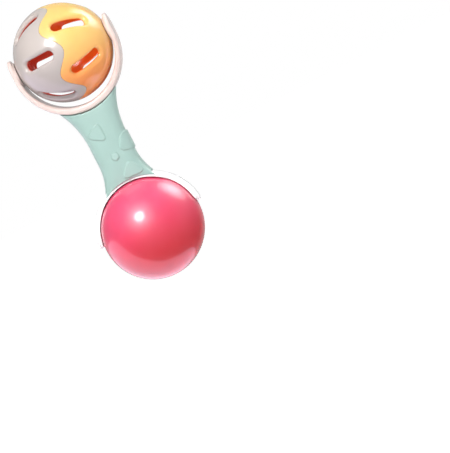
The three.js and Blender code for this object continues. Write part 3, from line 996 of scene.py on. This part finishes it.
def make_grip(material):
    grip = make_piece("grip_skin", *grip_loft(), material)
    close_up(grip.data)
    combine(grip, "DIFFERENCE", "ring_room", ring_room())
    combine(grip, "DIFFERENCE", "ball_room", ball_room())
    combine(grip, "DIFFERENCE", "stem_room", stem_room())
    combine(grip, "DIFFERENCE", "cradle_room", cradle_band(cradle_room_section))
    soften(grip, GRIP_VOXEL, GRIP_SMOOTHING)
    raise_pads(grip.data)
    return grip


# Materials


def object_place(tree):
    return add_node(tree, "ShaderNodeTexCoord").outputs["Object"]


def moulded_skin_group():
    """Slow drift of colour, uneven gloss and fine grain of a moulded surface."""
    tree, given, result = new_tree("moulded_surface", "ShaderNodeTree", {
        "Colour": "Color", "Deep Colour": "Color", "Drift Size": "Float", "Drift": "Float",
        "Roughness": "Float", "Uneven Gloss": "Float", "Smudge Size": "Float", "Grain Size": "Float",
    }, {"Colour": "Color", "Roughness": "Float", "Grain": "Float"})
    place = object_place(tree)

    def noise(size, detail):
        scale = add_node(tree, "ShaderNodeMath", {0: 1, 1: given[size]}, operation="DIVIDE")
        texture = add_node(tree, "ShaderNodeTexNoise", {
            "Vector": place, "Scale": scale.outputs["Value"], "Detail": detail,
        })
        return texture.outputs["Fac"]

    drift = add_node(tree, "ShaderNodeMath", {
        0: noise("Drift Size", 3), 1: given["Drift"],
    }, operation="MULTIPLY", use_clamp=True)
    colour = add_node(tree, "ShaderNodeMix", {
        0: drift.outputs["Value"], 6: given["Colour"], 7: given["Deep Colour"],
    }, data_type="RGBA")
    centred = add_node(tree, "ShaderNodeMath", {0: noise("Smudge Size", 5), 1: 0.5}, operation="SUBTRACT")
    gloss = add_node(tree, "ShaderNodeMath", {
        0: centred.outputs["Value"], 1: given["Uneven Gloss"], 2: given["Roughness"],
    }, operation="MULTIPLY_ADD")
    tree.links.new(colour.outputs[2], result.inputs["Colour"])
    tree.links.new(gloss.outputs["Value"], result.inputs["Roughness"])
    tree.links.new(noise("Grain Size", 2), result.inputs["Grain"])
    return tree


def parting_line_group():
    """Mask of the mould's parting line, where a piece crosses the middle plane of the handle."""
    tree, given, result = new_tree(
        "mould_parting_line", "ShaderNodeTree", {"Half Width": "Float"}, {"Line": "Float"},
    )
    apart = add_node(tree, "ShaderNodeSeparateXYZ", {"Vector": object_place(tree)})
    distance = add_node(tree, "ShaderNodeMath", {0: apart.outputs["Y"]}, operation="ABSOLUTE")
    line = add_node(tree, "ShaderNodeMapRange", {
        "Value": distance.outputs["Value"], "From Max": given["Half Width"], "To Min": 1, "To Max": 0,
    }, interpolation_type="SMOOTHSTEP")
    tree.links.new(line.outputs["Result"], result.inputs["Line"])
    return tree


def inside_shade_mask_group():
    """Mask for the painted shade and glow inside the slotted ball, from one distance off its centre to a
    shorter one.
    """
    tree, given, result = new_tree("painted_inside_shade_mask", "ShaderNodeTree", {
        "Ball Centre": "Vector", "Outer Radius": "Float", "Inner Radius": "Float",
    }, {"Inside": "Float"})
    distance = add_node(tree, "ShaderNodeVectorMath", {
        0: object_place(tree), 1: given["Ball Centre"],
    }, operation="DISTANCE")
    inside = add_node(tree, "ShaderNodeMapRange", {
        "Value": distance.outputs["Value"], "From Min": given["Inner Radius"],
        "From Max": given["Outer Radius"], "To Min": 1, "To Max": 0,
    }, interpolation_type="SMOOTHSTEP")
    tree.links.new(inside.outputs["Result"], result.inputs["Inside"])
    return tree


def painted_low_shade_group():
    """Mask for painted shade, growing from a ball's upper side to its lower side."""
    tree, given, result = new_tree("painted_shade_lower_side", "ShaderNodeTree", {
        "Top Height": "Float", "Foot Height": "Float",
    }, {"Low": "Float"})
    apart = add_node(tree, "ShaderNodeSeparateXYZ", {"Vector": object_place(tree)})
    low = add_node(tree, "ShaderNodeMapRange", {
        "Value": apart.outputs["Z"], "From Min": given["Top Height"], "From Max": given["Foot Height"],
    }, interpolation_type="SMOOTHSTEP")
    tree.links.new(low.outputs["Result"], result.inputs["Low"])
    return tree


def blend_skin(material, mask, colour):
    """Blend another colour over a material's skin where a mask says so."""
    tree = material.node_tree
    base = tree.nodes["Principled BSDF"].inputs["Base Color"]
    skin = base.links[0].from_socket
    blend = add_node(tree, "ShaderNodeMix", {0: mask, 6: skin, 7: colour}, data_type="RGBA")
    tree.links.new(blend.outputs[2], base)


def paint_low_side_shade(material, group, top, foot, colour):
    """Painted shade: deeper colour towards the lower side of a ball, between two heights in millimetres."""
    low = add_node(material.node_tree, "ShaderNodeGroup", {
        "Top Height": top * MM, "Foot Height": foot * MM,
    }, node_tree=group)
    blend_skin(material, low.outputs["Low"], colour)
    return material


def paint_inside_shade_and_glow(material, group, colour, glow):
    """Painted shade and painted bounce light on the slotted ball's inside, as a deeper colour, and a painted
    glow there that stands in for light through its thin wall.
    """
    tree = material.node_tree
    inside = add_node(tree, "ShaderNodeGroup", {
        "Ball Centre": (0, 0, SPINNER_CENTRE * MM),
        "Outer Radius": INSIDE_SHADE_START * MM, "Inner Radius": INSIDE_SHADE_FULL * MM,
    }, node_tree=group)
    blend_skin(material, inside.outputs["Inside"], colour)
    # Painted glow: emission on the inside, standing in for light through the thin wall
    through = add_node(tree, "ShaderNodeMix", {
        0: inside.outputs["Inside"], 6: (0, 0, 0, 1), 7: colour,
    }, data_type="RGBA")
    principled = tree.nodes["Principled BSDF"]
    tree.links.new(through.outputs[2], principled.inputs["Emission Color"])
    principled.inputs["Emission Strength"].default_value = glow
    return material


def from_srgb(red, green, blue):
    """Linear colour from screen values of 0 to 255."""
    def linear(value):
        share = value / 255
        return share / 12.92 if share <= 0.04045 else ((share + 0.055) / 1.055)**2.4
    return (linear(red), linear(green), linear(blue), 1)


def moulded_material(name, surface, values, grain, shader, line=None):
    """Material of one moulded piece: its surface group's values, its grain and its shader's own sockets."""
    material = bpy.data.materials.new(name)
    material.use_nodes = True
    tree = material.node_tree
    principled = tree.nodes["Principled BSDF"]
    for socket, value in shader.items():
        principled.inputs[socket].default_value = value
    skin = add_node(tree, "ShaderNodeGroup", {**MOULDED_SURFACE, **values}, node_tree=surface)
    tree.links.new(skin.outputs["Colour"], principled.inputs["Base Color"])
    tree.links.new(skin.outputs["Roughness"], principled.inputs["Roughness"])
    relief = add_node(tree, "ShaderNodeBump", {**grain, "Height": skin.outputs["Grain"]})
    if line:
        seam = add_node(tree, "ShaderNodeGroup", {"Half Width": PARTING_HALF_WIDTH * MM}, node_tree=line)
        relief = add_node(tree, "ShaderNodeBump", {
            "Strength": PARTING_STRENGTH, "Distance": PARTING_HEIGHT * MM,
            "Height": seam.outputs["Line"], "Normal": relief.outputs["Normal"],
        })
    tree.links.new(relief.outputs["Normal"], principled.inputs["Normal"])
    return material


def grey_plastic(surface, low_shade, inside):
    material = moulded_material("warm_grey_plastic", surface, {
        "Colour": from_srgb(201, 191, 185), "Deep Colour": from_srgb(193, 182, 178),
        "Drift": 0.7, "Roughness": 0.2,
    }, {"Strength": 0.05, "Distance": 0.0002}, {"Coat Weight": 0.5, "Coat Roughness": 0.05})
    # Painted shade: the ball's lower side is coloured darker
    top, foot = SPINNER_CENTRE + 14, SPINNER_CENTRE - 20
    paint_low_side_shade(material, low_shade, top, foot, from_srgb(177, 167, 167))
    # Painted shade and painted orange bounce light inside the ball, with a faint painted glow
    return paint_inside_shade_and_glow(material, inside, from_srgb(210, 96, 80), 0.025)


def orange_plastic(surface, low_shade, inside):
    material = moulded_material("apricot_orange_plastic", surface, {
        "Colour": from_srgb(255, 209, 130), "Deep Colour": from_srgb(254, 202, 122),
        "Drift": 0.7, "Roughness": 0.2,
    }, {"Strength": 0.05, "Distance": 0.0002}, {
        "Coat Weight": 0.5, "Coat Roughness": 0.05, "Subsurface Weight": 0.3,
        "Subsurface Radius": (0.006, 0.0022, 0.0008), "Subsurface Scale": 0.8,
    })
    # Painted shade: the ball's lower side is coloured deeper and redder
    top, foot = SPINNER_CENTRE + 8, SPINNER_CENTRE - 20
    paint_low_side_shade(material, low_shade, top, foot, from_srgb(240, 148, 86))
    # Painted shade and painted bounce light inside the ball, with a painted glow
    return paint_inside_shade_and_glow(material, inside, from_srgb(255, 118, 40), 0.1)


def pink_plastic(surface, low_shade):
    material = moulded_material("coral_pink_plastic", surface, {
        "Colour": from_srgb(250, 85, 128), "Deep Colour": from_srgb(247, 77, 120),
        "Drift Size": 0.035, "Drift": 0.7, "Roughness": 0.42, "Uneven Gloss": 0.06, "Smudge Size": 0.015,
    }, {"Strength": 0.03, "Distance": 0.0002}, {
        "IOR": 1.6, "Specular IOR Level": 0.9, "Coat Weight": 0.8, "Coat Roughness": 0.06,
        "Subsurface Weight": 0.15, "Subsurface Radius": (0.006, 0.0012, 0.0018), "Subsurface Scale": 0.6,
    })
    # Painted shade: the ball's lower side is coloured deeper red
    top, foot = RATTLE_CENTRE + 18, RATTLE_CENTRE - 16
    return paint_low_side_shade(material, low_shade, top, foot, from_srgb(220, 8, 34))


def blush_plastic(surface, line):
    return moulded_material("pale_blush_plastic", surface, {
        "Colour": from_srgb(232, 213, 207), "Deep Colour": from_srgb(227, 206, 200),
        "Roughness": 0.26,
    }, {"Strength": 0.04, "Distance": 0.0002}, {
        "Coat Weight": 0.3, "Coat Roughness": 0.12, "Subsurface Weight": 0.1,
        "Subsurface Radius": (0.004, 0.002, 0.002), "Subsurface Scale": 0.4,
    }, line)


def white_plastic(surface, line):
    return moulded_material("cradle_white_plastic", surface, {
        "Colour": from_srgb(254, 254, 254), "Deep Colour": from_srgb(250, 250, 251),
        "Roughness": 0.28,
    }, {"Strength": 0.04, "Distance": 0.0002}, {"Coat Weight": 0.2, "Coat Roughness": 0.15}, line)


def mint_rubber(surface, line):
    return moulded_material("mint_soft_rubber", surface, {
        "Colour": from_srgb(167, 196, 189), "Deep Colour": from_srgb(160, 191, 183),
        "Drift Size": 0.025, "Drift": 0.8, "Roughness": 0.37, "Uneven Gloss": 0.14,
        "Smudge Size": 0.008, "Grain Size": 0.00035,
    }, {"Strength": 0.18, "Distance": 0.0001}, {"Sheen Weight": 0.06, "Sheen Roughness": 0.5}, line)


def bead_plastic(surface):
    return moulded_material("bead_white_plastic", surface, {
        "Colour": from_srgb(240, 238, 234), "Deep Colour": from_srgb(226, 224, 220),
        "Drift Size": 0.004, "Roughness": 0.4, "Uneven Gloss": 0.2,
        "Smudge Size": 0.003, "Grain Size": 0.0004,
    }, {"Strength": 0.1, "Distance": 0.0001}, {"Coat Weight": 0.1})


# Camera, light and floor


def camera_axes():
    """Right, up and towards-the-viewer directions of the photograph's view."""
    towards = Vector((
        math.sin(CAMERA_YAW) * math.cos(CAMERA_PITCH),
        -math.cos(CAMERA_YAW) * math.cos(CAMERA_PITCH),
        math.sin(CAMERA_PITCH),
    ))
    level = Vector((math.cos(CAMERA_YAW), math.sin(CAMERA_YAW), 0))
    upright = towards.cross(level)
    right = math.cos(HANDLE_LEAN) * level - math.sin(HANDLE_LEAN) * upright
    up = math.sin(HANDLE_LEAN) * level + math.cos(HANDLE_LEAN) * upright
    return right, up, towards


def make_camera():
    """Camera that sees the handle's middle from the photograph's side, at its pixel and its scale."""
    right, up, towards = camera_axes()
    across = (HANDLE_PIXEL[0] - IMAGE_WIDTH / 2) * PIXEL_SIZE
    above = (IMAGE_HEIGHT / 2 - HANDLE_PIXEL[1]) * PIXEL_SIZE
    sight = Vector((across, above, -CAMERA_DISTANCE)).normalized()
    swing = sight.rotation_difference(Vector((0, 0, -1))).to_matrix()
    data = bpy.data.cameras.new("photo_camera")
    data.sensor_fit = "HORIZONTAL"
    data.sensor_width = SENSOR_WIDTH
    data.lens = SENSOR_WIDTH * CAMERA_DISTANCE * -sight.z / (IMAGE_WIDTH * PIXEL_SIZE)
    data.clip_start = CAMERA_CLIP * MM
    camera = bpy.data.objects.new("photo_camera", data)
    facing = Matrix((right, up, towards)).transposed() @ swing
    camera.matrix_world = Matrix.Translation(towards * CAMERA_DISTANCE * MM) @ facing.to_4x4()
    bpy.context.scene.collection.objects.link(camera)
    bpy.context.scene.camera = camera


def add_softbox(name, direction, distance, size, power, shines=True):
    """Round soft light on the closed ball, from the right, up and towards-the-viewer parts of a direction.

    Three discs of one brightness lie over each other, so that its edge fades in steps.
    """
    right, up, towards = camera_axes()
    heading = (direction[0] * right + direction[1] * up + direction[2] * towards).normalized()
    target = Vector((0, 0, RATTLE_CENTRE * MM))
    shares = (0.4, 0.7, 1.0)
    layer_gap = 0.002
    for layer, share in enumerate(shares):
        data = bpy.data.lights.new(f"{name}_{layer}", "AREA")
        data.shape = "DISK"
        data.size = size * share
        data.energy = power * share**2 / sum(other**2 for other in shares)
        lamp = bpy.data.objects.new(data.name, data)
        lamp.rotation_euler = heading.to_track_quat("Z", "Y").to_euler()
        lamp.location = target + heading * (distance + layer_gap * layer)
        lamp.visible_camera = False
        lamp.visible_glossy = shines
        bpy.context.scene.collection.objects.link(lamp)


def add_table_glow(drop, power, tint):
    """Bright oval table top below and behind the closed ball, seen only as a reflection."""
    right, up, towards = camera_axes()
    target = Vector((0, 0, RATTLE_CENTRE * MM))
    width, length = 5 * drop, 3 * drop
    leftward, backward = 0.5 * drop, 1.2 * drop
    data = bpy.data.lights.new("table_glow", "AREA")
    data.shape = "ELLIPSE"
    data.size = width
    data.size_y = length
    data.energy = power
    data.color = tint
    lamp = bpy.data.objects.new("table_glow", data)
    lamp.rotation_euler = Matrix((right, towards, -up)).transposed().to_euler()
    lamp.location = target - leftward * right - drop * up - backward * towards
    lamp.visible_camera = False
    lamp.visible_diffuse = False
    bpy.context.scene.collection.objects.link(lamp)


def make_lights():
    """Studio lights, with distances and sizes in metres and powers in watts."""
    window = (-0.5, 0.41, 0.763)
    add_softbox("window_key", window, distance=0.8, size=0.34, power=4.3)
    add_softbox("window_halo", window, distance=0.82, size=1.1, power=1.9)
    add_softbox("top_softbox", (0.433, 0.848, -0.304), distance=0.8, size=0.6, power=3.0)
    add_softbox("left_grazing_light", (-0.72, 0.66, 0.2), distance=0.8, size=0.25, power=0.9, shines=False)
    add_softbox("front_fill", (0.05, 0.1, 1), distance=1.3, size=0.9, power=1.2, shines=False)
    add_softbox("right_fill", (0.9, 0.3, 0.2), distance=0.8, size=0.6, power=1.7, shines=False)
    add_softbox("back_fill", (0.35, 0.2, -0.92), distance=1.2, size=0.9, power=4.5, shines=False)
    add_table_glow(drop=0.3, power=4.6, tint=(1.0, 0.84, 1.08))


def make_world():
    """White behind the toy, a softer fill for what it lights, and in its gloss a pale backdrop only."""
    white, fill, dim_gloss, backdrop_gloss = 1.0, 0.22, 0.1, 0.5
    backdrop_edge, backdrop_full = 0.5, 0.95
    world = bpy.data.worlds.new("white_studio")
    bpy.context.scene.world = world
    world.use_nodes = True
    tree = world.node_tree
    tree.nodes.clear()
    path = add_node(tree, "ShaderNodeLightPath").outputs
    seen = add_node(tree, "ShaderNodeMath", {
        0: path["Is Camera Ray"], 1: path["Is Transmission Ray"],
    }, operation="MAXIMUM")
    place = add_node(tree, "ShaderNodeTexCoord")
    behind = add_node(tree, "ShaderNodeVectorMath", {
        0: place.outputs["Generated"], 1: -camera_axes()[2],
    }, operation="DOT_PRODUCT")
    backdrop = add_node(tree, "ShaderNodeMapRange", {
        "Value": behind.outputs["Value"], "From Min": backdrop_edge, "From Max": backdrop_full,
        "To Min": dim_gloss, "To Max": backdrop_gloss,
    }, interpolation_type="SMOOTHSTEP")
    dimmed = add_node(tree, "ShaderNodeMapRange", {
        "Value": path["Is Glossy Ray"], "To Min": fill, "To Max": backdrop.outputs["Result"],
    })
    strength = add_node(tree, "ShaderNodeMapRange", {
        "Value": seen.outputs["Value"], "To Min": dimmed.outputs["Result"], "To Max": white,
    })
    background = add_node(tree, "ShaderNodeBackground", {
        "Color": (1, 1, 1, 1), "Strength": strength.outputs["Result"],
    })
    output = add_node(tree, "ShaderNodeOutputWorld")
    tree.links.new(background.outputs["Background"], output.inputs["Surface"])


def floor_material():
    """Pale paper that reads white where no shadow falls on it."""
    near, far = 0.25, 1.2
    near_glow, far_glow = 0.6, 0.85
    material = bpy.data.materials.new("pale_paper")
    material.use_nodes = True
    tree = material.node_tree
    paper = tree.nodes["Principled BSDF"]
    paper.inputs["Base Color"].default_value = (0.86, 0.86, 0.86, 1)
    paper.inputs["Roughness"].default_value = 0.9
    paper.inputs["Specular IOR Level"].default_value = 0
    away = add_node(tree, "ShaderNodeVectorMath", {0: object_place(tree)}, operation="LENGTH")
    lift = add_node(tree, "ShaderNodeMapRange", {
        "Value": away.outputs["Value"], "From Min": near, "From Max": far,
        "To Min": near_glow, "To Max": far_glow,
    })
    path = add_node(tree, "ShaderNodeLightPath")
    glow = add_node(tree, "ShaderNodeMath", {
        0: path.outputs["Is Camera Ray"], 1: lift.outputs["Result"],
    }, operation="MULTIPLY")
    paper.inputs["Emission Color"].default_value = (1, 1, 1, 1)
    tree.links.new(glow.outputs["Value"], paper.inputs["Emission Strength"])
    return material


def make_floor():
    height = RATTLE_CENTRE - RATTLE_RADIUS - FLOOR_DROP
    corners = [(-1, -1), (1, -1), (1, 1), (-1, 1)]
    points = [(FLOOR_REACH * x, FLOOR_REACH * y, height) for x, y in corners]
    floor = make_piece("paper_floor", points, [(0, 1, 2, 3)], floor_material())
    floor.visible_glossy = False


# Assembly


def put_on(piece, body, slot, *nodes):
    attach(piece, body)
    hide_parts(*nodes)


def make_spinner(surface, low_shade):
    """Both halves of the slotted ball, the orange lobes half a lobe round from the grey ones."""
    inside = inside_shade_mask_group()
    lobes = lobe_ring_tree()
    grey_skin = grey_plastic(surface, low_shade, inside)
    grey = spinner_half("spinner_grey_lobes", -1, False, REST_TURN, lobes, grey_skin)
    put_on(grey, "spinner", "spinner_grey", "spinner_half_grey")
    orange_skin = orange_plastic(surface, low_shade, inside)
    orange = spinner_half("spinner_orange_lobes", 1, True, REST_TURN + HALF_LOBE, lobes, orange_skin)
    put_on(orange, "spinner", "spinner_orange", "spinner_half_orange")


def make_handle(surface, low_shade):
    """Yoke, cradle, grip and the closed ball's shells, which move as one."""
    line = parting_line_group()
    put_on(make_yoke(blush_plastic(surface, line)), "handle", "yoke_plastic", "yoke")
    put_on(make_cradle(white_plastic(surface, line)), "handle", "cradle_plastic", "cradle")
    put_on(make_grip(mint_rubber(surface, line)), "handle", "grip_rubber", "grip")
    pink = pink_plastic(surface, low_shade)
    front = make_rattle_shell("rattle_front", -1, True, pink)
    put_on(front, "handle", "rattle_pink", "rattle_shell_front")
    back = make_rattle_shell("rattle_back", 1, False, pink)
    put_on(back, "handle", "rattle_pink", "rattle_shell_back")


def make_beads(surface):
    shape = bead_tree()
    white = bead_plastic(surface)
    for number in range(1, BEAD_COUNT + 1):
        bead = make_bead(number, shape, white)
        put_on(bead, f"bead_{number}_body", "bead_plastic", f"bead_{number}")


def main():
    bpy.context.scene.view_settings.view_transform = "Standard"
    make_camera()
    make_world()
    make_lights()
    make_floor()
    surface = moulded_skin_group()
    low_shade = painted_low_shade_group()
    make_spinner(surface, low_shade)
    make_handle(surface, low_shade)
    make_beads(surface)


main()
